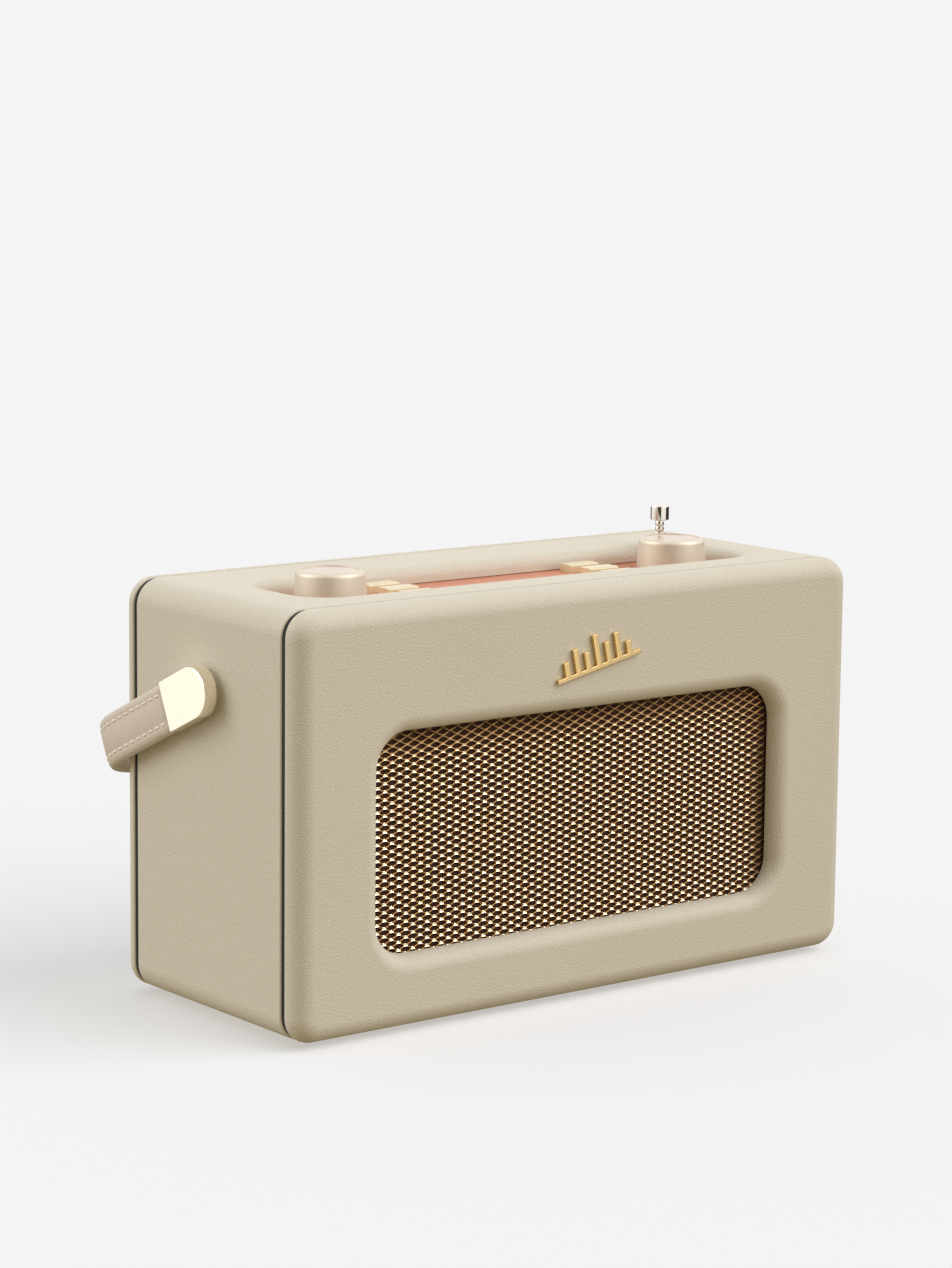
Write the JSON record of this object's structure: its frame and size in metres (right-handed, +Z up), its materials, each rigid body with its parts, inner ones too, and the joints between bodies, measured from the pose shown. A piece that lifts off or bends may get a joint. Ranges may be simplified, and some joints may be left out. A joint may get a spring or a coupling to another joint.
{
  "type": "portable radio",
  "caption": "Cream leathercloth portable radio with a gold mesh grille, top mounted knobs and keys, telescopic aerial and a swinging stitched leather carrying strap.",
  "frame": {"origin": "middle of the cabinet in plan, on the surface that the feet stand on", "axes": "+X to the right as seen from the front, +Y from the front (grille) to the back (battery door), +Z up"},
  "size_m": [0.2656, 0.132, 0.1646],
  "materials": {
    "leathercloth": "cream grained leathercloth",
    "strap_leather": "padded leather with cream stitching",
    "dark_rubber": "dark brown rubber",
    "gold_mesh": "bright gold expanded metal",
    "black_cloth": "woven speaker cloth",
    "fibreboard": "hardboard and softwood",
    "plated_steel": "zinc plated",
    "ferrite": "grey ferrite",
    "cone_paper": "pressed paper pulp",
    "gold": "polished, gold coloured",
    "copper_paint": "satin copper brown paint",
    "black_plastic": "moulded",
    "smoked_lens": "clear moulded window",
    "circuit_board": "green solder resist",
    "cream_plastic": "cream gold, satin",
    "knob_disc": "spun disc, lacquered",
    "key_plastic": "cream gold, metallised",
    "bright_plating": "nickel plated brass tube",
    "bare_aluminium": "extruded",
    "cell_jacket": "plain jacket, no print",
    "back_plastic": "brown moulded plastic"
  },
  "bodies": {
    "cabinet": {"cabinet_sleeve": "leathercloth", "front_frame": "leathercloth", "rear_frame": "leathercloth", "seam_gaskets": "dark_rubber", "grille_mesh": "gold_mesh", "grille_cloth": "black_cloth", "speaker_baffle": "fibreboard", "corner_blocks": "fibreboard", "speaker_basket": "plated_steel", "speaker_magnet": "ferrite", "speaker_cone": "cone_paper", "speaker_dust_cap": "cone_paper", "speaker_screws": "plated_steel", "badge": "gold", "control_panel": "copper_paint", "key_switches": "black_plastic", "display_lens": "smoked_lens", "display_module": "black_plastic", "control_board": "circuit_board", "volume_potentiometer": "plated_steel", "tuning_encoder": "plated_steel", "shaft_nuts": "plated_steel", "aerial_base_tube": "bright_plating", "aerial_bush": "black_plastic", "main_board": "circuit_board", "board_pillars": "plated_steel", "tuner_module": "plated_steel", "board_capacitors": "black_plastic", "heat_sink": "bare_aluminium", "battery_bay": "black_plastic", "batteries": "cell_jacket", "battery_contacts": "plated_steel", "rear_panel": "back_plastic", "rear_panel_screws": "plated_steel", "door_hinge_pin": "plated_steel", "headphone_socket": "black_plastic", "power_socket": "black_plastic", "strap_studs": "plated_steel", "feet": "dark_rubber"},
    "key_left_back": {"key_left_back": "key_plastic"},
    "key_left_middle": {"key_left_middle": "key_plastic"},
    "key_left_front": {"key_left_front": "key_plastic"},
    "key_right_back": {"key_right_back": "key_plastic"},
    "key_right_middle": {"key_right_middle": "key_plastic"},
    "key_right_front": {"key_right_front": "key_plastic"},
    "volume_control": {"volume_knob": "cream_plastic", "volume_knob_disc": "knob_disc", "volume_shaft": "plated_steel"},
    "tuning_pusher": {"tuning_plunger": "black_plastic"},
    "tuning_control": {"tuning_knob": "cream_plastic", "tuning_knob_disc": "knob_disc", "tuning_shaft": "plated_steel"},
    "aerial_tube_1": {"aerial_section_1": "bright_plating"},
    "aerial_tube_2": {"aerial_section_2": "bright_plating"},
    "aerial_tube_3": {"aerial_section_3": "bright_plating"},
    "aerial_rod": {"aerial_section_4": "bright_plating", "aerial_tip": "bright_plating"},
    "door": {"battery_door": "back_plastic"},
    "carrying_strap": {"strap": "strap_leather", "strap_ferrules": "gold"}
  },
  "joints": [
    {"name": "key_left_back_press", "type": "slide", "parent": "cabinet", "child": "key_left_back", "axis": [0, 0, -1], "range_m": [0, 0.001], "stiffness_N_per_m": 500, "springref_m": -0.002},
    {"name": "key_left_middle_press", "type": "slide", "parent": "cabinet", "child": "key_left_middle", "axis": [0, 0, -1], "range_m": [0, 0.001], "stiffness_N_per_m": 500, "springref_m": -0.002},
    {"name": "key_left_front_press", "type": "slide", "parent": "cabinet", "child": "key_left_front", "axis": [0, 0, -1], "range_m": [0, 0.001], "stiffness_N_per_m": 500, "springref_m": -0.002},
    {"name": "key_right_back_press", "type": "slide", "parent": "cabinet", "child": "key_right_back", "axis": [0, 0, -1], "range_m": [0, 0.001], "stiffness_N_per_m": 500, "springref_m": -0.002},
    {"name": "key_right_middle_press", "type": "slide", "parent": "cabinet", "child": "key_right_middle", "axis": [0, 0, -1], "range_m": [0, 0.001], "stiffness_N_per_m": 500, "springref_m": -0.002},
    {"name": "key_right_front_press", "type": "slide", "parent": "cabinet", "child": "key_right_front", "axis": [0, 0, -1], "range_m": [0, 0.001], "stiffness_N_per_m": 500, "springref_m": -0.002},
    {"name": "volume_turn", "type": "hinge", "parent": "cabinet", "child": "volume_control", "pos_m": [-0.078, -0.0053, 0.142], "axis": [0, 0, 1], "range_deg": [-150, 150]},
    {"name": "tuning_push", "type": "slide", "parent": "cabinet", "child": "tuning_pusher", "axis": [0, 0, -1], "range_m": [0, 0.0008], "stiffness_N_per_m": 800, "springref_m": -0.0015},
    {"name": "tuning_turn", "type": "hinge", "parent": "tuning_pusher", "child": "tuning_control", "pos_m": [0.078, -0.0053, 0.142], "axis": [0, 0, 1], "continuous": true},
    {"name": "aerial_slide_1", "type": "slide", "parent": "cabinet", "child": "aerial_tube_1", "axis": [0, 0, 1], "range_m": [0, 0.11]},
    {"name": "aerial_slide_2", "type": "slide", "parent": "aerial_tube_1", "child": "aerial_tube_2", "axis": [0, 0, 1], "range_m": [0, 0.11]},
    {"name": "aerial_slide_3", "type": "slide", "parent": "aerial_tube_2", "child": "aerial_tube_3", "axis": [0, 0, 1], "range_m": [0, 0.11]},
    {"name": "aerial_slide_4", "type": "slide", "parent": "aerial_tube_3", "child": "aerial_rod", "axis": [0, 0, 1], "range_m": [0, 0.11]},
    {"name": "battery_door_hinge", "type": "hinge", "parent": "cabinet", "child": "door", "pos_m": [0, 0.0491, 0.0199], "axis": [-1, 0, 0], "range_deg": [0, 105]},
    {"name": "strap_swing", "type": "hinge", "parent": "cabinet", "child": "carrying_strap", "pos_m": [0, 0, 0.1165], "axis": [1, 0, 0], "range_deg": [-7.5, 236]}
  ]
}
